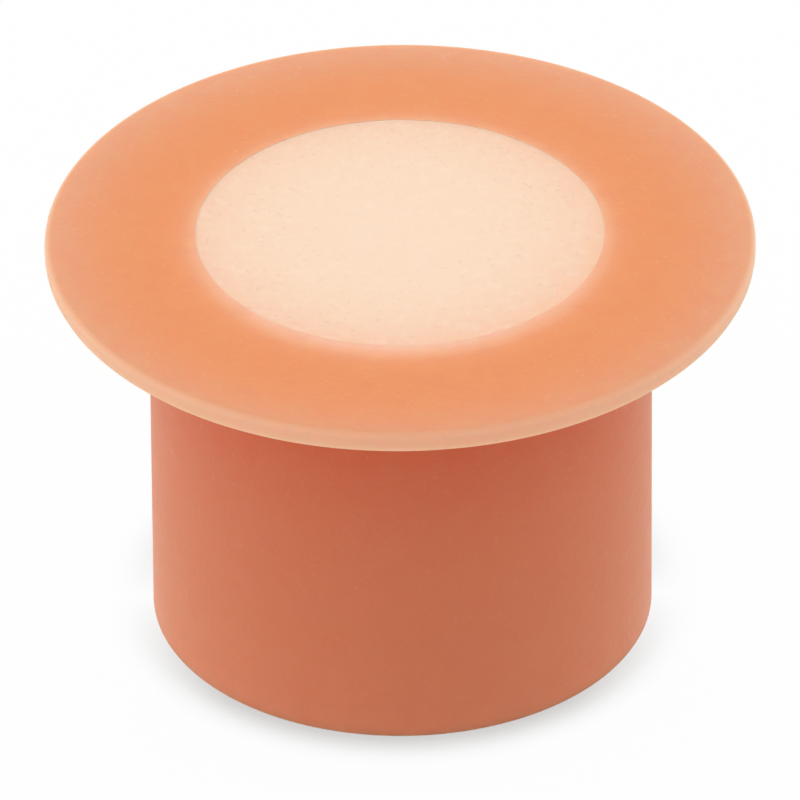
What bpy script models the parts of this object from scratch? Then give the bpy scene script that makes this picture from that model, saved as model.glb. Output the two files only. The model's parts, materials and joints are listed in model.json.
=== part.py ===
"""Flanged silicone closure for the neck of a culture flask, with a sponge disc seated in its top.

Metres, +Z up. The closure's axis is Z and the end of its plug rests on z = 0.
"""

import math

import bpy

# Driving dimensions of the moulded plug
PLUG_DIAMETER = 0.038
PLUG_LENGTH = 0.03085
FLANGE_OVERHANG = 0.0078
RIM_THICKNESS = 0.0019
CROWN_RISE = 0.0004
SEAT_WALL = 0.0036
LEDGE_WIDTH = 0.0014

# Driving dimensions of the sponge disc, and how it sits
DISC_THICKNESS = 0.004
DISC_RECESS = 0.00008
DISC_EDGE_RADIUS = 0.00015
FIT_GAP = 0.0003

# Rounding of the moulded plug's edges
RIM_TOP_RADIUS = 0.0005
RIM_BOTTOM_RADIUS = 0.00095
NECK_FILLET = 0.0008
PLUG_END_RADIUS = 0.0001
BORE_MOUTH_RADIUS = 0.0006
LEDGE_EDGE_RADIUS = 0.0003
LIP_RADIUS = 0.00015

# How finely round shapes are divided
TURN_STEPS = 96
ARC_STEPS = 4
CROWN_STEPS = 6
DISC_EDGE_STEPS = 2
MERGE_DISTANCE = 0.000001

# Finishes: linear colour, roughness, and how much light passes under the skin
SILICONE_COLOUR = (0.80, 0.24, 0.10)
SILICONE_ROUGHNESS = 0.45
SILICONE_SUBSURFACE = 0.3
SPONGE_COLOUR = (0.93, 0.70, 0.54)
SPONGE_ROUGHNESS = 0.8
SPONGE_SUBSURFACE = 0.2

# Sizes that follow from the driving ones
PLUG_RADIUS = PLUG_DIAMETER / 2
FLANGE_RADIUS = PLUG_RADIUS + FLANGE_OVERHANG
SEAT_RADIUS = PLUG_RADIUS - SEAT_WALL
BORE_RADIUS = SEAT_RADIUS - LEDGE_WIDTH
DISC_RADIUS = SEAT_RADIUS - FIT_GAP
RIM_TOP = PLUG_LENGTH + RIM_THICKNESS
LIP_TOP = RIM_TOP + CROWN_RISE
DISC_TOP = LIP_TOP - DISC_RECESS
DISC_BOTTOM = DISC_TOP - DISC_THICKNESS
LEDGE_TOP = DISC_BOTTOM - FIT_GAP


def clear_scene():
    for old in list(bpy.data.objects):
        bpy.data.objects.remove(old, do_unlink=True)


def new_collection(name):
    collection = bpy.data.collections.new(name)
    bpy.context.scene.collection.children.link(collection)
    return collection


def new_material(name, colour, roughness, subsurface):
    """A plain moulded finish, a little translucent as silicone is."""
    material = bpy.data.materials.new(name)
    material.use_nodes = True
    shader = material.node_tree.nodes["Principled BSDF"]
    shader.inputs["Base Color"].default_value = (*colour, 1.0)
    shader.inputs["Roughness"].default_value = roughness
    shader.inputs["Metallic"].default_value = 0.0
    shader.inputs["Subsurface Weight"].default_value = subsurface
    shader.inputs["Subsurface Scale"].default_value = RIM_THICKNESS
    return material


def crown_height(radius):
    """Height of the flange's gently domed top: level at the lip, falling away to the rim."""
    outward = (radius - SEAT_RADIUS) / (FLANGE_RADIUS - SEAT_RADIUS)
    return LIP_TOP - CROWN_RISE * outward**2


def crown_points():
    """Points along the domed top between the lip and the rim, with no rounding of their own."""
    points = []
    for step in range(1, CROWN_STEPS):
        radius = SEAT_RADIUS + (FLANGE_RADIUS - SEAT_RADIUS) * step / CROWN_STEPS
        points.append((radius, crown_height(radius), 0.0))
    return points


def arc_at_corner(before, corner, after, radius):
    """Points of the arc that rounds a corner, no longer than half of either side allows."""
    side_in = (before[0] - corner[0], before[1] - corner[1])
    side_out = (after[0] - corner[0], after[1] - corner[1])
    length_in = math.hypot(*side_in)
    length_out = math.hypot(*side_out)
    toward_in = (side_in[0] / length_in, side_in[1] / length_in)
    toward_out = (side_out[0] / length_out, side_out[1] / length_out)
    opening = math.acos(toward_in[0] * toward_out[0] + toward_in[1] * toward_out[1])
    setback = min(radius / math.tan(opening / 2), length_in / 2, length_out / 2)
    radius = setback * math.tan(opening / 2)
    middle = (toward_in[0] + toward_out[0], toward_in[1] + toward_out[1])
    to_centre = radius / math.sin(opening / 2) / math.hypot(*middle)
    centre = (corner[0] + middle[0] * to_centre, corner[1] + middle[1] * to_centre)
    start = (corner[0] + toward_in[0] * setback, corner[1] + toward_in[1] * setback)
    end = (corner[0] + toward_out[0] * setback, corner[1] + toward_out[1] * setback)
    angle_in = math.atan2(start[1] - centre[1], start[0] - centre[0])
    angle_out = math.atan2(end[1] - centre[1], end[0] - centre[0])
    turn = (angle_out - angle_in + math.pi) % (2 * math.pi) - math.pi
    points = []
    for step in range(ARC_STEPS + 1):
        angle = angle_in + turn * step / ARC_STEPS
        points.append((centre[0] + radius * math.cos(angle), centre[1] + radius * math.sin(angle)))
    return points


def rounded_outline(corners):
    """The closed outline through corners of (distance from the axis, height, rounding radius)."""
    outline = []
    for index, (distance, height, radius) in enumerate(corners):
        if radius == 0.0:
            outline.append((distance, height))
            continue
        before = corners[index - 1]
        after = corners[(index + 1) % len(corners)]
        outline.extend(arc_at_corner(before, (distance, height), after, radius))
    return outline


def turned_object(name, outline, material, collection):
    """A closed outline at +X, turned once about Z by a Screw modifier."""
    count = len(outline)
    points = [(distance, 0.0, height) for distance, height in outline]
    edges = [(index, (index + 1) % count) for index in range(count)]
    mesh = bpy.data.meshes.new(name)
    mesh.from_pydata(points, edges, [])
    mesh.materials.append(material)
    turned = bpy.data.objects.new(name, mesh)
    collection.objects.link(turned)
    screw = turned.modifiers.new("Turn", "SCREW")
    screw.axis = "Z"
    screw.angle = math.tau
    screw.steps = TURN_STEPS
    screw.render_steps = TURN_STEPS
    screw.use_merge_vertices = True
    screw.merge_threshold = MERGE_DISTANCE
    screw.use_smooth_shade = True
    turned.modifiers.new("Even shading", "WEIGHTED_NORMAL")
    return turned


def flanged_plug(collection):
    """The moulded silicone piece: a thin domed flange on a plug that is bored from below."""
    corners = [
        (FLANGE_RADIUS, RIM_TOP, RIM_TOP_RADIUS),
        (FLANGE_RADIUS, PLUG_LENGTH, RIM_BOTTOM_RADIUS),
        (PLUG_RADIUS, PLUG_LENGTH, NECK_FILLET),
        (PLUG_RADIUS, 0.0, PLUG_END_RADIUS),
        (BORE_RADIUS, 0.0, BORE_MOUTH_RADIUS),
        (BORE_RADIUS, LEDGE_TOP, LEDGE_EDGE_RADIUS),
        (SEAT_RADIUS, LEDGE_TOP, 0.0),
        (SEAT_RADIUS, LIP_TOP, LIP_RADIUS),
        *crown_points(),
    ]
    silicone = new_material(
        "Orange silicone", SILICONE_COLOUR, SILICONE_ROUGHNESS, SILICONE_SUBSURFACE
    )
    return turned_object("flanged_plug", rounded_outline(corners), silicone, collection)


def sponge_disc(collection):
    """The pale open-celled disc that lies on the ledge, a little below the lip."""
    bpy.ops.mesh.primitive_cylinder_add(
        vertices=TURN_STEPS,
        radius=DISC_RADIUS,
        depth=DISC_THICKNESS,
        location=(0.0, 0.0, (DISC_TOP + DISC_BOTTOM) / 2),
    )
    disc = bpy.context.object
    disc.name = "sponge_disc"
    disc.data.name = "sponge_disc"
    for linked in list(disc.users_collection):
        linked.objects.unlink(disc)
    collection.objects.link(disc)
    sponge = new_material(
        "Pale silicone sponge", SPONGE_COLOUR, SPONGE_ROUGHNESS, SPONGE_SUBSURFACE
    )
    disc.data.materials.append(sponge)
    bevel = disc.modifiers.new("Cut edge", "BEVEL")
    bevel.width = DISC_EDGE_RADIUS
    bevel.segments = DISC_EDGE_STEPS
    bevel.limit_method = "ANGLE"
    disc.data.shade_smooth()
    disc.modifiers.new("Even shading", "WEIGHTED_NORMAL")
    return disc


def build():
    clear_scene()
    closure = new_collection("Sponge closure")
    flanged_plug(closure)
    sponge_disc(closure)


build()
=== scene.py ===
"""The looks of a flanged silicone closure with a sponge disc seated in its top.

Metres, +Z up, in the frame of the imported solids: the axis is Z and the plug's end rests on z = 0.
"""

import json
import math

import bmesh
import bpy
from mathutils import Matrix, Vector, noise


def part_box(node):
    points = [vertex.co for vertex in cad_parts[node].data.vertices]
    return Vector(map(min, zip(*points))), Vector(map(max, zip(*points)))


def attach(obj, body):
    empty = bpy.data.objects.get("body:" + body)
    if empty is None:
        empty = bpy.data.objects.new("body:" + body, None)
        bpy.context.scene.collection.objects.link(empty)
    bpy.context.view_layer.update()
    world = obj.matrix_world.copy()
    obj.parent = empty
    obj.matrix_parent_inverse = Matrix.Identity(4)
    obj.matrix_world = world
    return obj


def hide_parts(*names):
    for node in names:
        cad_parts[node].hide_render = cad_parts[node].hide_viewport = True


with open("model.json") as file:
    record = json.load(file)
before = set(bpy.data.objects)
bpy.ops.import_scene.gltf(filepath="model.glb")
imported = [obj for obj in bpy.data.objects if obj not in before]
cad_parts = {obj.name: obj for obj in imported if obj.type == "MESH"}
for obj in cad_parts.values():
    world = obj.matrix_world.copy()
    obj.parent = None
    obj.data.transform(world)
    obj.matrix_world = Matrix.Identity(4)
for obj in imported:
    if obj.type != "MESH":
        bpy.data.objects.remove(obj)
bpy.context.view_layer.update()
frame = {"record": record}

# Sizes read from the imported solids
MM = 0.001
PLUG_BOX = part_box("flanged_plug")
DISC_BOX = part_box("sponge_disc")
MOUNT_HEIGHTS = {mount["name"]: mount["pos_m"][2] for mount in frame["record"]["mounts"]}
FLANGE_RADIUS = PLUG_BOX[1].x
LIP_TOP = PLUG_BOX[1].z
FLANGE_UNDERSIDE = MOUNT_HEIGHTS["flange_seat"]
DISC_TOP = DISC_BOX[1].z
DISC_BOTTOM = DISC_BOX[0].z

# Sizes that the boxes don't give
FIT_GAP = 0.3 * MM
PLUG_RADIUS = 19.0 * MM
SEAT_RADIUS = DISC_BOX[1].x + FIT_GAP
BORE_RADIUS = 14.0 * MM
CROWN_RISE = 0.4 * MM
RIM_TOP = LIP_TOP - CROWN_RISE
LEDGE_TOP = DISC_BOTTOM - FIT_GAP

# Rounding of the moulded edges
RIM_TOP_RADIUS = 0.5 * MM
RIM_BOTTOM_RADIUS = 0.95 * MM
NECK_FILLET = 0.8 * MM
PLUG_END_RADIUS = 0.1 * MM
BORE_MOUTH_RADIUS = 0.6 * MM
LEDGE_EDGE_RADIUS = 0.3 * MM
LIP_RADIUS = 0.05 * MM
DISC_EDGE_RADIUS = 0.02 * MM

# How the sponge disc sits in its seat, and how uneven it is
DISC_SEAT_GAP = 0.005 * MM
EDGE_RISE = 0.045 * MM
EDGE_RISE_WIDTH = 0.7 * MM
BROAD_RELIEF_SPAN = 2.6 * MM
BROAD_RELIEF_HEIGHT = 0.010 * MM
FINE_RELIEF_SPAN = 0.8 * MM
FINE_RELIEF_HEIGHT = 0.008 * MM
FINE_RELIEF_SHIFT = Vector((7.0, 3.0, 1.0))

# How finely the turned pieces are divided
TURN_STEPS = 288
ROUNDING_STEPS = 5
CROWN_CUTS = 40
WALL_CUTS = 60
OTHER_PLUG_CUTS = 12
DISC_CUTS = 110
DISC_SIDE_CUTS = 10
MERGE_DISTANCE = 0.001 * MM

# What tells the parts of a profile from each other
SHORTEST_LONG_EDGE = 2.0 * MM
UPPER_HALF_OF_RIM = FLANGE_UNDERSIDE + MM
LEAST_WALL_HEIGHT = 20.0 * MM
LEAST_DISC_WIDTH = 5.0 * MM
TOP_FACE_DEPTH = 0.03 * MM
BOTTOM_FACE_DEPTH = 0.01 * MM

# The camera, fitted to the photograph
CAMERA_TARGET = Vector((-0.09 * MM, 0.0, 17.82 * MM))
CAMERA_DISTANCE = 1.45
CAMERA_ELEVATION = math.radians(33.98)
CAMERA_ROLL = math.radians(-0.41)
CAMERA_LENS = 861.0
SENSOR_WIDTH = 36.0


# Mesh helpers

def round_corner(bm, vert, radius):
    """Rounds one corner of a wire."""
    bmesh.ops.bevel(
        bm, geom=[vert], offset=radius, offset_type="OFFSET", segments=ROUNDING_STEPS,
        profile=0.5, affect="VERTICES", material=-1, clamp_overlap=False,
    )


def rounded_profile(bm, corners):
    """A closed wire at +X through corners of (distance from the axis, height, rounding radius)."""
    verts = [bm.verts.new((distance, 0.0, height)) for distance, height, radius in corners]
    for index, vert in enumerate(verts):
        bm.edges.new((verts[index - 1], vert))
    for vert, (distance, height, radius) in zip(verts, corners):
        if radius:
            round_corner(bm, vert, radius)


def divide_edges(bm, cuts, chosen):
    """Divides each edge of the profile for which chosen(one end, other end) is true."""
    edges = [edge for edge in bm.edges if chosen(edge.verts[0].co, edge.verts[1].co)]
    bmesh.ops.subdivide_edges(bm, edges=edges, cuts=cuts)


def turn_about_axis(bm):
    """Turns the profile a quarter about Z and mirrors it twice, into a closed body that faces outwards."""
    bmesh.ops.spin(
        bm, geom=bm.verts[:] + bm.edges[:], cent=(0.0, 0.0, 0.0), axis=(0.0, 0.0, 1.0),
        angle=math.tau / 4, steps=TURN_STEPS // 4,
    )
    for axis in ("X", "Y"):
        geom = bm.verts[:] + bm.edges[:] + bm.faces[:]
        bmesh.ops.mirror(bm, geom=geom, matrix=Matrix.Identity(4), merge_dist=MERGE_DISTANCE, axis=axis)
    bmesh.ops.remove_doubles(bm, verts=bm.verts, dist=MERGE_DISTANCE)
    bmesh.ops.recalc_face_normals(bm, faces=bm.faces)


def finished_piece(bm, name, material):
    """Writes the mesh to a smooth-shaded object at the origin."""
    mesh = bpy.data.meshes.new(name)
    bm.to_mesh(mesh)
    bm.free()
    mesh.shade_smooth()
    mesh.materials.append(material)
    piece = bpy.data.objects.new(name, mesh)
    bpy.context.scene.collection.objects.link(piece)
    return piece


# Material helpers

def add_node(tree, kind, inputs=None, **settings):
    """A node with its settings and its unlinked inputs, which are named or numbered."""
    node = tree.nodes.new(kind)
    for name, value in settings.items():
        setattr(node, name, value)
    for name, value in (inputs or {}).items():
        if isinstance(value, bpy.types.NodeSocket):
            tree.links.new(value, node.inputs[name])
        else:
            node.inputs[name].default_value = value
    return node


def new_material(name):
    """A material with an empty Principled shader, its tree and its Object coordinates."""
    material = bpy.data.materials.new(name)
    material.use_nodes = True
    tree = material.node_tree
    shader = tree.nodes["Principled BSDF"]
    place = add_node(tree, "ShaderNodeTexCoord").outputs["Object"]
    return material, tree, shader, place


def math_node(tree, operation, first, second=0.0):
    return add_node(tree, "ShaderNodeMath", {0: first, 1: second}, operation=operation).outputs[0]


def mapped_value(tree, value, start, end, low=0.0, high=1.0):
    """Low at start, high at end and even in between."""
    node = add_node(
        tree, "ShaderNodeMapRange",
        {"Value": value, "From Min": start, "From Max": end, "To Min": low, "To Max": high},
    )
    return node.outputs["Result"]


def share_between(tree, value, start, end):
    """0 below start, 1 above end and a smooth step in between."""
    node = add_node(
        tree, "ShaderNodeMapRange", {"Value": value, "From Min": start, "From Max": end},
        interpolation_type="SMOOTHSTEP",
    )
    return node.outputs["Result"]


def colour_stops(tree, value, stops):
    """Colour by a value, from stops of (value, linear colour)."""
    start = stops[0][0]
    end = stops[-1][0]
    position = mapped_value(tree, value, start, end)
    ramp = add_node(tree, "ShaderNodeValToRGB", {"Fac": position})
    ramp.color_ramp.interpolation = "B_SPLINE"
    elements = ramp.color_ramp.elements
    while len(elements) < len(stops):
        elements.new(0.5)
    for element, (level, colour) in zip(elements, stops):
        element.position = (level - start) / (end - start)
        element.color = (*colour, 1.0)
    return ramp.outputs["Color"]


def mixed_colour(tree, share, first, second, blend_type="MIX"):
    node = add_node(
        tree, "ShaderNodeMix", {0: share, 6: first, 7: second}, data_type="RGBA", blend_type=blend_type
    )
    return node.outputs[2]


def noise_texture(tree, place, grain, detail=2.0):
    """Soft noise whose blotches are about one grain across."""
    inputs = {"Vector": place, "Scale": 1.0 / grain, "Detail": detail}
    return add_node(tree, "ShaderNodeTexNoise", inputs).outputs["Fac"]


def bumped_normal(tree, height, strength, depth, normal=None):
    """A surface normal that is roughened by a height, over another normal if one is given."""
    inputs = {"Height": height, "Strength": strength, "Distance": depth}
    if normal is not None:
        inputs["Normal"] = normal
    return add_node(tree, "ShaderNodeBump", inputs).outputs["Normal"]


def seen_directly(tree):
    """1 for rays from the camera and for what gloss or glass shows, 0 for light."""
    paths = add_node(tree, "ShaderNodeLightPath")
    seen = math_node(tree, "ADD", paths.outputs["Is Camera Ray"], paths.outputs["Is Glossy Ray"])
    seen = math_node(tree, "ADD", seen, paths.outputs["Is Transmission Ray"])
    return math_node(tree, "MINIMUM", seen, 1.0)


def axis_distance(tree, place):
    """Distance from the closure's axis, and height."""
    flat = add_node(tree, "ShaderNodeVectorMath", {0: place, 1: (1.0, 1.0, 0.0)}, operation="MULTIPLY")
    length = add_node(tree, "ShaderNodeVectorMath", {0: flat.outputs[0]}, operation="LENGTH")
    height = add_node(tree, "ShaderNodeSeparateXYZ", {0: place})
    return length.outputs["Value"], height.outputs["Z"]


# Silicone: linear colours by distance from the axis on the flange, and by height elsewhere. Besides the
# silicone's own orange, they hold painted glow, a painted highlight, painted shade and painted light

# The flange's own saturated orange, paled near the disc and toward the thin rim with painted glow
FLANGE_COLOURS_AND_PAINTED_GLOW = (
    (14.7 * MM, (0.97, 0.520, 0.360)),
    (15.1 * MM, (0.95, 0.455, 0.275)),
    (15.5 * MM, (0.91, 0.415, 0.232)),
    (15.9 * MM, (0.88, 0.374, 0.185)),
    (16.3 * MM, (0.86, 0.325, 0.143)),
    (16.8 * MM, (0.845, 0.304, 0.113)),
    (18.0 * MM, (0.83, 0.280, 0.088)),
    (20.0 * MM, (0.815, 0.276, 0.088)),
    (22.5 * MM, (0.785, 0.293, 0.110)),
    (24.5 * MM, (0.755, 0.317, 0.147)),
    (26.2 * MM, (0.728, 0.353, 0.191)),
)
# The rim's face, paled with painted light through the thin flange, and brightest at its lower edge as a
# painted highlight
RIM_COLOURS_AND_PAINTED_LIGHT = (
    (FLANGE_UNDERSIDE + 0.50 * MM, (1.0, 0.522, 0.316)),
    (FLANGE_UNDERSIDE + 0.70 * MM, (1.0, 0.519, 0.326)),
    (FLANGE_UNDERSIDE + 1.15 * MM, (1.0, 0.522, 0.335)),
    (FLANGE_UNDERSIDE + 1.60 * MM, (0.96, 0.517, 0.345)),
    (FLANGE_UNDERSIDE + 1.75 * MM, (0.85, 0.449, 0.291)),
    (FLANGE_UNDERSIDE + 1.88 * MM, (0.765, 0.382, 0.227)),
)
# The plug's own deep red, made darker and redder toward the flange with painted shade, and paler toward
# its foot with painted light from the floor
WALL_COLOURS_PAINTED_SHADE_AND_LIGHT = (
    (0.0, (0.94, 0.330, 0.173)),
    (2.5 * MM, (0.833, 0.265, 0.120)),
    (8.0 * MM, (0.78, 0.231, 0.096)),
    (18.0 * MM, (0.766, 0.194, 0.077)),
    (22.0 * MM, (0.76, 0.174, 0.065)),
    (26.0 * MM, (0.745, 0.142, 0.041)),
    (30.2 * MM, (0.71, 0.106, 0.025)),
)
# Painted light on the lip and the seat's wall, over the shade of the groove beside the disc, and where it
# gives way to the flange
SEAT_PAINTED_LIGHT = (1.0, 0.56, 0.37)
SEAT_PAINTED_LIGHT_START = SEAT_RADIUS + 0.02 * MM
SEAT_PAINTED_LIGHT_END = SEAT_RADIUS + 0.08 * MM
RIM_COLOUR_START = 26.3 * MM
RIM_COLOUR_END = 26.6 * MM
FLANGE_COLOUR_START = FLANGE_UNDERSIDE - 0.6 * MM
FLANGE_COLOUR_END = FLANGE_UNDERSIDE + 0.05 * MM

# The painted glow round the disc is wider in front than behind: how far to the front its middle lies
PAINTED_GLOW_SHIFT_NEAR = 1.15 * MM
PAINTED_GLOW_SHIFT_FAR = 0.3 * MM

# How far light travels under the skin: least beside the seat, most where the flange is thin
SEAT_REACH = 0.2 * MM
THICK_REACH = 1.0 * MM
THIN_REACH = 3.0 * MM
SEAT_REACH_END = SEAT_RADIUS + 0.1 * MM
THICK_REACH_START = SEAT_RADIUS + 0.8 * MM
THICK_REACH_END = 20.0 * MM
THIN_REACH_START = 25.0 * MM

# Faint mottling: noise size, the noise levels between which it comes in, and its strength
MOTTLE_COLOUR = (0.76, 0.24, 0.11)
MOTTLE_GRAIN = 1.6 * MM
MOTTLE_DETAIL = 4.0
MOTTLE_LEVELS = (0.35, 0.75)
MOTTLE_SHARE = 0.16
RUDDY_TINT = (1.0, 0.955, 0.93)
RUDDY_GRAIN = 2.4 * MM
RUDDY_LEVELS = (0.42, 0.60)
RUDDY_SHARE = 0.5

# Fine pale specks, slightly raised
SPECK_COLOUR = (0.88, 0.50, 0.32)
SPECK_GRAIN = 0.38 * MM
SPECK_DETAIL = 1.5
SPECK_LEVELS = (0.62, 0.74)
RAISED_SPECK_LEVELS = (0.58, 0.74)
SPECK_BUMP = 0.60
SPECK_HEIGHT = 0.14 * MM
WALL_SPECKS = 0.09
FLANGE_SPECKS = 0.14

# Satin skin: uneven gloss, and a soft grain that is stronger in patches
GLOSS_GRAIN = 1.4 * MM
LEAST_ROUGHNESS = 0.46
MOST_ROUGHNESS = 0.60
RIM_EXTRA_ROUGHNESS = 0.2
SKIN_GRAIN = 0.50 * MM
SKIN_DETAIL = 1.0
SKIN_BUMP = 0.34
SKIN_HEIGHT = 0.15 * MM
PATCH_GRAIN = 5.0 * MM
PATCH_LEVELS = (0.36, 0.60)
PATCH_SPREAD = 0.7
PATCH_LEAST = 0.3


def silicone_material():
    """Translucent orange silicone, deep on the thick plug. It is paler where the flange is thin and round
    the disc with painted glow, has a painted highlight on the rim's lower edge, is darker under the flange
    with painted shade, and is paler at the plug's foot with painted light.
    """
    material, tree, shader, place = new_material("Orange silicone")
    distance, height = axis_distance(tree, place)
    on_rim = share_between(tree, distance, RIM_COLOUR_START, RIM_COLOUR_END)
    on_flange = share_between(tree, height, FLANGE_COLOUR_START, FLANGE_COLOUR_END)

    # Painted glow round the disc and toward the rim, over the flange's own orange, with its middle shifted
    # to the front
    parts = add_node(tree, "ShaderNodeSeparateXYZ", {0: place})
    shift = mapped_value(
        tree, parts.outputs["Y"], -SEAT_RADIUS, SEAT_RADIUS, PAINTED_GLOW_SHIFT_NEAR, PAINTED_GLOW_SHIFT_FAR
    )
    moved = add_node(tree, "ShaderNodeCombineXYZ", {1: shift})
    halo = add_node(tree, "ShaderNodeVectorMath", {0: place, 1: moved.outputs["Vector"]}, operation="ADD")
    painted_glow_distance = axis_distance(tree, halo.outputs["Vector"])[0]
    flange = colour_stops(tree, painted_glow_distance, FLANGE_COLOURS_AND_PAINTED_GLOW)
    # Painted light on the lip and the seat's wall
    past_seat = share_between(tree, distance, SEAT_PAINTED_LIGHT_START, SEAT_PAINTED_LIGHT_END)
    flange = mixed_colour(tree, past_seat, (*SEAT_PAINTED_LIGHT, 1.0), flange)
    # Painted shade under the flange and painted light at the plug's foot, on the plug's own red
    wall = colour_stops(tree, height, WALL_COLOURS_PAINTED_SHADE_AND_LIGHT)
    colour = mixed_colour(tree, on_flange, wall, flange)

    mottle = noise_texture(tree, place, MOTTLE_GRAIN, detail=MOTTLE_DETAIL)
    mottle_share = math_node(tree, "MULTIPLY", share_between(tree, mottle, *MOTTLE_LEVELS), MOTTLE_SHARE)
    colour = mixed_colour(tree, mottle_share, colour, (*MOTTLE_COLOUR, 1.0))
    ruddy = share_between(tree, noise_texture(tree, place, RUDDY_GRAIN), *RUDDY_LEVELS)
    ruddy_share = math_node(tree, "MULTIPLY", ruddy, RUDDY_SHARE)
    colour = mixed_colour(tree, ruddy_share, colour, (*RUDDY_TINT, 1.0), "MULTIPLY")
    # Painted light on the rim's face and a painted highlight along its lower edge
    rim = colour_stops(tree, height, RIM_COLOURS_AND_PAINTED_LIGHT)
    colour = mixed_colour(tree, on_rim, colour, rim)
    specks = noise_texture(tree, place, SPECK_GRAIN, detail=SPECK_DETAIL)
    speck_reach = mapped_value(tree, on_flange, 0.0, 1.0, WALL_SPECKS, FLANGE_SPECKS)
    speck_share = math_node(tree, "MULTIPLY", share_between(tree, specks, *SPECK_LEVELS), speck_reach)
    colour = mixed_colour(tree, speck_share, colour, (*SPECK_COLOUR, 1.0))
    tree.links.new(colour, shader.inputs["Base Color"])

    gloss = noise_texture(tree, place, GLOSS_GRAIN)
    roughness = mapped_value(tree, gloss, 0.0, 1.0, LEAST_ROUGHNESS, MOST_ROUGHNESS)
    duller_rim = math_node(tree, "MULTIPLY", on_rim, RIM_EXTRA_ROUGHNESS)
    roughness = math_node(tree, "ADD", roughness, duller_rim)
    tree.links.new(roughness, shader.inputs["Roughness"])

    patches = share_between(tree, noise_texture(tree, place, PATCH_GRAIN), *PATCH_LEVELS)
    patches = math_node(tree, "MULTIPLY", patches, PATCH_SPREAD)
    patches = math_node(tree, "ADD", patches, PATCH_LEAST)
    grain = noise_texture(tree, place, SKIN_GRAIN, detail=SKIN_DETAIL)
    grain = math_node(tree, "MULTIPLY", grain, patches)
    satin = bumped_normal(tree, grain, SKIN_BUMP, SKIN_HEIGHT)
    raised = share_between(tree, specks, *RAISED_SPECK_LEVELS)
    raised = math_node(tree, "MULTIPLY", raised, speck_reach)
    normal = bumped_normal(tree, raised, SPECK_BUMP, SPECK_HEIGHT, satin)
    tree.links.new(normal, shader.inputs["Normal"])

    shader.inputs["IOR"].default_value = 1.41
    shader.inputs["Subsurface Weight"].default_value = 0.85
    shader.inputs["Subsurface Radius"].default_value = (1.0, 0.5, 0.3)
    reach = mapped_value(tree, distance, SEAT_REACH_END, THICK_REACH_START, SEAT_REACH, THICK_REACH)
    reach = mapped_value(tree, distance, THICK_REACH_END, THIN_REACH_START, reach, THIN_REACH)
    tree.links.new(reach, shader.inputs["Subsurface Scale"])
    shader.inputs["Sheen Weight"].default_value = 0.16
    shader.inputs["Sheen Roughness"].default_value = 0.7
    shader.inputs["Sheen Tint"].default_value = (1.0, 0.82, 0.60, 1.0)
    return material


# Sponge: linear colours by distance from the middle of a painted glow, which lies a little off the axis

SPONGE_PAINTED_GLOW = (
    (0.0, (0.930, 0.700, 0.530)),
    (9.0 * MM, (0.930, 0.690, 0.515)),
    (12.5 * MM, (0.925, 0.645, 0.470)),
    (14.6 * MM, (0.920, 0.603, 0.434)),
    (15.8 * MM, (0.930, 0.554, 0.374)),
)
GLOW_CENTRE = (-0.4 * MM, 0.6 * MM, 0.0)
PALE_CELL_COLOUR = (0.96, 0.78, 0.63)
PALE_CELL_GRAIN = 0.8 * MM
PALE_CELL_DETAIL = 4.0
PALE_CELL_LEVELS = (0.45, 0.8)
PALE_CELL_SHARE = 0.34
PORE_COLOUR = (0.78, 0.50, 0.36)
PORE_GRAIN = 0.40 * MM
PORE_LEVELS = (0.60, 0.74)
PORE_SHARE = 0.34
PORE_BUMP_LEVELS = (0.55, 0.78)
PORE_BUMP = 0.60
PORE_DEPTH = 0.04 * MM

# The pores are fainter in the middle of the disc than near its edge
FAINT_PORES_END = 4.0 * MM
CLEAR_PORES_START = 14.0 * MM
FAINT_PORES = 0.5
CLEAR_PORES = 1.2


def sponge_material():
    """Pale open silicone sponge, with a painted glow a little off its middle, fine pores and paler cells
    between them.
    """
    material, tree, shader, place = new_material("Pale silicone sponge")
    # Painted glow, brightest a little off the middle of the disc
    glow = add_node(tree, "ShaderNodeVectorMath", {0: place, 1: GLOW_CENTRE}, operation="SUBTRACT")
    distance = axis_distance(tree, glow.outputs["Vector"])[0]
    colour = colour_stops(tree, distance, SPONGE_PAINTED_GLOW)
    cells = noise_texture(tree, place, PALE_CELL_GRAIN, detail=PALE_CELL_DETAIL)
    cell_share = share_between(tree, cells, *PALE_CELL_LEVELS)
    cell_share = math_node(tree, "MULTIPLY", cell_share, PALE_CELL_SHARE)
    colour = mixed_colour(tree, cell_share, colour, (*PALE_CELL_COLOUR, 1.0))
    pores = noise_texture(tree, place, PORE_GRAIN)
    clearness = mapped_value(
        tree, distance, FAINT_PORES_END, CLEAR_PORES_START, FAINT_PORES, CLEAR_PORES
    )
    pore_share = math_node(tree, "MULTIPLY", share_between(tree, pores, *PORE_LEVELS), PORE_SHARE)
    pore_share = math_node(tree, "MULTIPLY", pore_share, clearness)
    colour = mixed_colour(tree, pore_share, colour, (*PORE_COLOUR, 1.0))
    tree.links.new(colour, shader.inputs["Base Color"])

    depth = math_node(tree, "MULTIPLY", share_between(tree, pores, *PORE_BUMP_LEVELS), clearness)
    dimples = math_node(tree, "SUBTRACT", 1.0, depth)
    tree.links.new(bumped_normal(tree, dimples, PORE_BUMP, PORE_DEPTH), shader.inputs["Normal"])

    shader.inputs["Roughness"].default_value = 0.85
    shader.inputs["IOR"].default_value = 1.41
    shader.inputs["Specular IOR Level"].default_value = 0.35
    shader.inputs["Subsurface Weight"].default_value = 0.2
    shader.inputs["Subsurface Radius"].default_value = (1.0, 0.7, 0.5)
    shader.inputs["Subsurface Scale"].default_value = 0.8 * MM
    return material


# Pieces

def crown_height(distance):
    """Height of the flange's gently domed top: level at the lip, falling away to the rim."""
    outward = (distance - SEAT_RADIUS) / (FLANGE_RADIUS - SEAT_RADIUS)
    return LIP_TOP - CROWN_RISE * outward**2


def is_long(first, second):
    return (first - second).length > SHORTEST_LONG_EDGE


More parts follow.
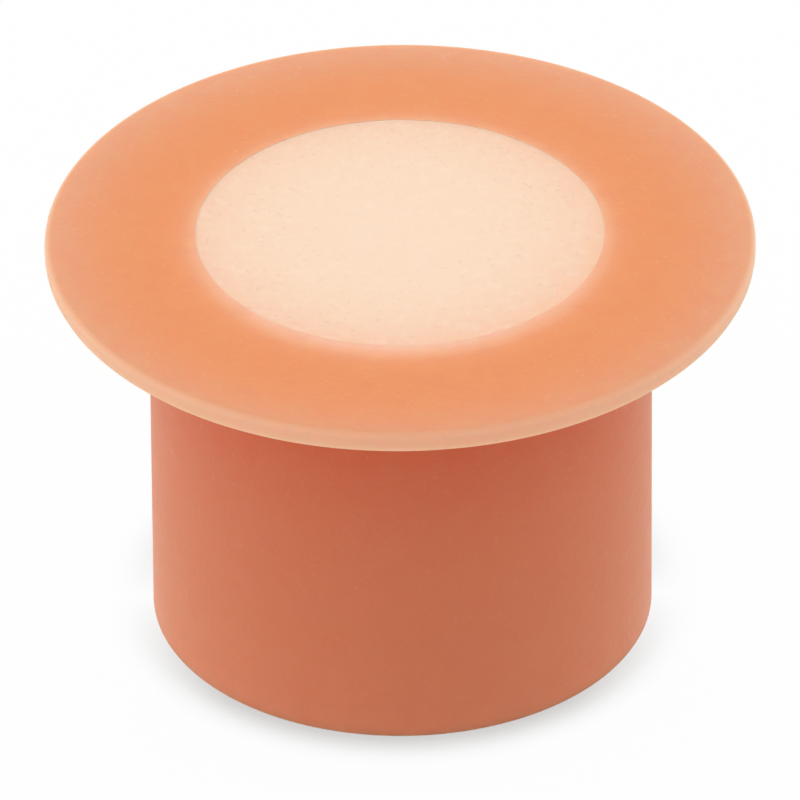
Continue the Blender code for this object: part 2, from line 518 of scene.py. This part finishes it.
def silicone_plug():
    """The moulded piece: a thin domed flange on a plug that is bored from below."""
    bm = bmesh.new()
    rounded_profile(bm, (
        (FLANGE_RADIUS, RIM_TOP, RIM_TOP_RADIUS),
        (FLANGE_RADIUS, FLANGE_UNDERSIDE, RIM_BOTTOM_RADIUS),
        (PLUG_RADIUS, FLANGE_UNDERSIDE, NECK_FILLET),
        (PLUG_RADIUS, 0.0, PLUG_END_RADIUS),
        (BORE_RADIUS, 0.0, BORE_MOUTH_RADIUS),
        (BORE_RADIUS, LEDGE_TOP, LEDGE_EDGE_RADIUS),
        (SEAT_RADIUS, LEDGE_TOP, 0.0),
        (SEAT_RADIUS, LIP_TOP, LIP_RADIUS),
    ))
    divide_edges(bm, CROWN_CUTS, lambda a, b: is_long(a, b) and min(a.z, b.z) > UPPER_HALF_OF_RIM)
    divide_edges(bm, WALL_CUTS, lambda a, b: is_long(a, b) and abs(a.z - b.z) > LEAST_WALL_HEIGHT)
    divide_edges(bm, OTHER_PLUG_CUTS, is_long)
    for vert in bm.verts:
        on_crown = SEAT_RADIUS + LIP_RADIUS < vert.co.x < FLANGE_RADIUS - RIM_TOP_RADIUS
        if on_crown and vert.co.z > UPPER_HALF_OF_RIM:
            vert.co.z = crown_height(vert.co.x)
    turn_about_axis(bm)
    piece = finished_piece(bm, "silicone_plug", silicone_material())
    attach(piece, "root")
    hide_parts("flanged_plug")


def sponge_relief(place):
    """The sponge's slight unevenness, in metres."""
    broad = noise.noise(place / BROAD_RELIEF_SPAN)
    fine = noise.noise(place / FINE_RELIEF_SPAN + FINE_RELIEF_SHIFT)
    return BROAD_RELIEF_HEIGHT * broad + FINE_RELIEF_HEIGHT * fine


def edge_rise(place):
    """How far the sponge's top climbs up the wall of its seat."""
    inset = SEAT_RADIUS - place.xy.length
    return EDGE_RISE * max(0.0, 1.0 - inset / EDGE_RISE_WIDTH) ** 2


def sponge_insert():
    """The pale disc, which fills its seat from wall to wall a little below the lip."""
    bm = bmesh.new()
    radius = SEAT_RADIUS - DISC_SEAT_GAP
    axis_low = bm.verts.new((0.0, 0.0, DISC_BOTTOM))
    edge_low = bm.verts.new((radius, 0.0, DISC_BOTTOM))
    edge_high = bm.verts.new((radius, 0.0, DISC_TOP))
    axis_high = bm.verts.new((0.0, 0.0, DISC_TOP))
    bm.edges.new((axis_low, edge_low))
    bm.edges.new((edge_low, edge_high))
    bm.edges.new((edge_high, axis_high))
    for vert in (edge_low, edge_high):
        round_corner(bm, vert, DISC_EDGE_RADIUS)
    divide_edges(bm, DISC_CUTS, lambda a, b: is_long(a, b) and abs(a.x - b.x) > LEAST_DISC_WIDTH)
    divide_edges(bm, DISC_SIDE_CUTS, is_long)
    turn_about_axis(bm)
    for vert in bm.verts:
        if vert.co.z > DISC_TOP - TOP_FACE_DEPTH:
            vert.co.z += sponge_relief(vert.co) + edge_rise(vert.co)
        elif vert.co.z < DISC_BOTTOM + BOTTOM_FACE_DEPTH:
            vert.co.z -= sponge_relief(vert.co)
    piece = finished_piece(bm, "sponge_insert", sponge_material())
    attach(piece, "root")
    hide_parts("sponge_disc")


# Stage, light and camera

# The floor lies a hair under the plug's end, so that the two don't share a plane
FLOOR_RADIUS = 6.0
FLOOR_SIDES = 96
FLOOR_TOP = -0.01 * MM
FLOOR_COLOUR = (0.96, 0.955, 0.950)
FLOOR_WHITE_SHARE = 0.97

# The shade that the floor shows beside the plug, by how open it is there toward the plug
CONTACT_REACH = 4.0 * MM
CONTACT_SAMPLES = 16
CONTACT_LEAN = (0.87, 0.87, 0.87)
CONTACT_LIFT = (0.0, 0.0, 0.5)
CONTACT_COLOURS = (
    (0.33, (0.610, 0.585, 0.570)),
    (0.37, (0.645, 0.635, 0.625)),
    (0.43, (0.725, 0.725, 0.720)),
    (0.52, (0.830, 0.830, 0.827)),
    (0.57, (0.882, 0.882, 0.880)),
    (0.68, (0.937, 0.937, 0.937)),
    (0.80, (0.976, 0.976, 0.976)),
    (1.00, (1.0, 1.0, 1.0)),
)

# The shade is full in front of and behind the plug, and nearly none at its left and right
SIDE_SHADE = 0.03
FULL_SHADE_START = 0.76


def white_floor():
    """A large white disc that reads white to the camera and still takes a soft shadow."""
    bm = bmesh.new()
    place_of_floor = Matrix.Translation((0.0, 0.0, FLOOR_TOP))
    bmesh.ops.create_circle(
        bm, cap_ends=True, segments=FLOOR_SIDES, radius=FLOOR_RADIUS, matrix=place_of_floor
    )
    material, tree, shader, place = new_material("White floor")
    shader.inputs["Base Color"].default_value = (*FLOOR_COLOUR, 1.0)
    shader.inputs["Roughness"].default_value = 0.9
    shader.inputs["Specular IOR Level"].default_value = 0.0
    level = add_node(tree, "ShaderNodeVectorMath", {0: place, 1: (-1.0, -1.0, 0.0)}, operation="MULTIPLY")
    inward = add_node(tree, "ShaderNodeVectorMath", {0: level.outputs["Vector"]}, operation="NORMALIZE")
    tilt = add_node(
        tree, "ShaderNodeVectorMath",
        {0: inward.outputs["Vector"], 1: CONTACT_LEAN, 2: CONTACT_LIFT},
        operation="MULTIPLY_ADD",
    )
    nearness = add_node(
        tree, "ShaderNodeAmbientOcclusion",
        {"Distance": CONTACT_REACH, "Normal": tilt.outputs["Vector"]}, samples=CONTACT_SAMPLES,
    )
    shade = colour_stops(tree, nearness.outputs["AO"], CONTACT_COLOURS)
    parts = add_node(tree, "ShaderNodeSeparateXYZ", {0: inward.outputs["Vector"]})
    off_side = math_node(tree, "ABSOLUTE", parts.outputs["Y"])
    fullness = mapped_value(tree, off_side, 0.0, FULL_SHADE_START, SIDE_SHADE, 1.0)
    shown = mixed_colour(tree, fullness, (1.0, 1.0, 1.0, 1.0), shade)
    white = add_node(tree, "ShaderNodeEmission", {"Color": shown, "Strength": 1.0})
    share = math_node(tree, "MULTIPLY", seen_directly(tree), FLOOR_WHITE_SHARE)
    mixed = add_node(
        tree, "ShaderNodeMixShader", {0: share, 1: shader.outputs["BSDF"], 2: white.outputs["Emission"]}
    )
    tree.links.new(mixed.outputs["Shader"], tree.nodes["Material Output"].inputs["Surface"])
    floor = finished_piece(bm, "white_floor", material)


# The light of the sky by direction, and where each part of it begins and is full
SKY_TURN = math.radians(-16.0)
SKY_FRONT = (0.12, 0.12, 0.12)
SKY_LEFT = (1.20, 1.20, 1.20)
SKY_RIGHT = (1.18, 1.18, 1.18)
SKY_BACK = (0.85, 0.85, 0.85)
SKY_TOP = (0.95, 0.95, 0.95)
FRONT_TO_SIDES = (-0.6, -0.12)
SIDES_TO_BACK = (0.1, 0.9)
SIDES_TO_TOP = (0.25, 0.9)
LEFT_TO_RIGHT = (-0.8, 0.8)

# A weak lamp above and a little behind: metres and watts
LAMP_PLACE = Vector((0.0, 0.15, 1.1))
LAMP_SIZE = 1.1
LAMP_POWER = 2.8


def studio_world():
    """White to the camera; for light, a room that is dim in front and bright behind and above."""
    world = bpy.data.worlds.new("Studio")
    bpy.context.scene.world = world
    world.use_nodes = True
    tree = world.node_tree
    tree.nodes.clear()
    direction = add_node(tree, "ShaderNodeTexCoord").outputs["Generated"]
    turned = add_node(
        tree, "ShaderNodeVectorRotate", {"Vector": direction, "Angle": SKY_TURN}, rotation_type="Z_AXIS"
    )
    parts = add_node(tree, "ShaderNodeSeparateXYZ", {0: turned.outputs["Vector"]})
    backward = share_between(tree, parts.outputs["Y"], *FRONT_TO_SIDES)
    far_back = share_between(tree, parts.outputs["Y"], *SIDES_TO_BACK)
    upward = share_between(tree, parts.outputs["Z"], *SIDES_TO_TOP)
    rightward = share_between(tree, parts.outputs["X"], *LEFT_TO_RIGHT)
    side = mixed_colour(tree, rightward, (*SKY_LEFT, 1.0), (*SKY_RIGHT, 1.0))
    sky = mixed_colour(tree, backward, (*SKY_FRONT, 1.0), side)
    sky = mixed_colour(tree, far_back, sky, (*SKY_BACK, 1.0))
    sky = mixed_colour(tree, upward, sky, (*SKY_TOP, 1.0))
    shown = mixed_colour(tree, seen_directly(tree), sky, (1.0, 1.0, 1.0, 1.0))
    background = add_node(tree, "ShaderNodeBackground", {"Color": shown, "Strength": 1.0})
    output = add_node(tree, "ShaderNodeOutputWorld")
    tree.links.new(background.outputs["Background"], output.inputs["Surface"])


def top_lamp():
    """A square lamp that faces the closure and isn't seen itself."""
    light = bpy.data.lights.new("Top lamp", "AREA")
    light.shape = "SQUARE"
    light.size = LAMP_SIZE
    light.energy = LAMP_POWER
    lamp = bpy.data.objects.new("Top lamp", light)
    lamp.location = LAMP_PLACE
    aim = CAMERA_TARGET - LAMP_PLACE
    lamp.rotation_euler = aim.to_track_quat("-Z", "Y").to_euler()
    lamp.visible_camera = False
    bpy.context.scene.collection.objects.link(lamp)


def photo_camera():
    """A long lens that looks down on the closure as the photograph does."""
    data = bpy.data.cameras.new("Photo camera")
    data.sensor_width = SENSOR_WIDTH
    data.lens = CAMERA_LENS
    camera = bpy.data.objects.new("Photo camera", data)
    bpy.context.scene.collection.objects.link(camera)
    back = Vector((0.0, -math.cos(CAMERA_ELEVATION), math.sin(CAMERA_ELEVATION)))
    tilt = Matrix.Rotation(math.pi / 2 - CAMERA_ELEVATION, 4, "X")
    roll = Matrix.Rotation(CAMERA_ROLL, 4, "Z")
    camera.matrix_world = Matrix.Translation(CAMERA_TARGET + back * CAMERA_DISTANCE) @ tilt @ roll
    bpy.context.scene.camera = camera


photo_camera()
white_floor()
studio_world()
top_lamp()
silicone_plug()
sponge_insert()
bpy.context.scene.view_settings.view_transform = "Standard"
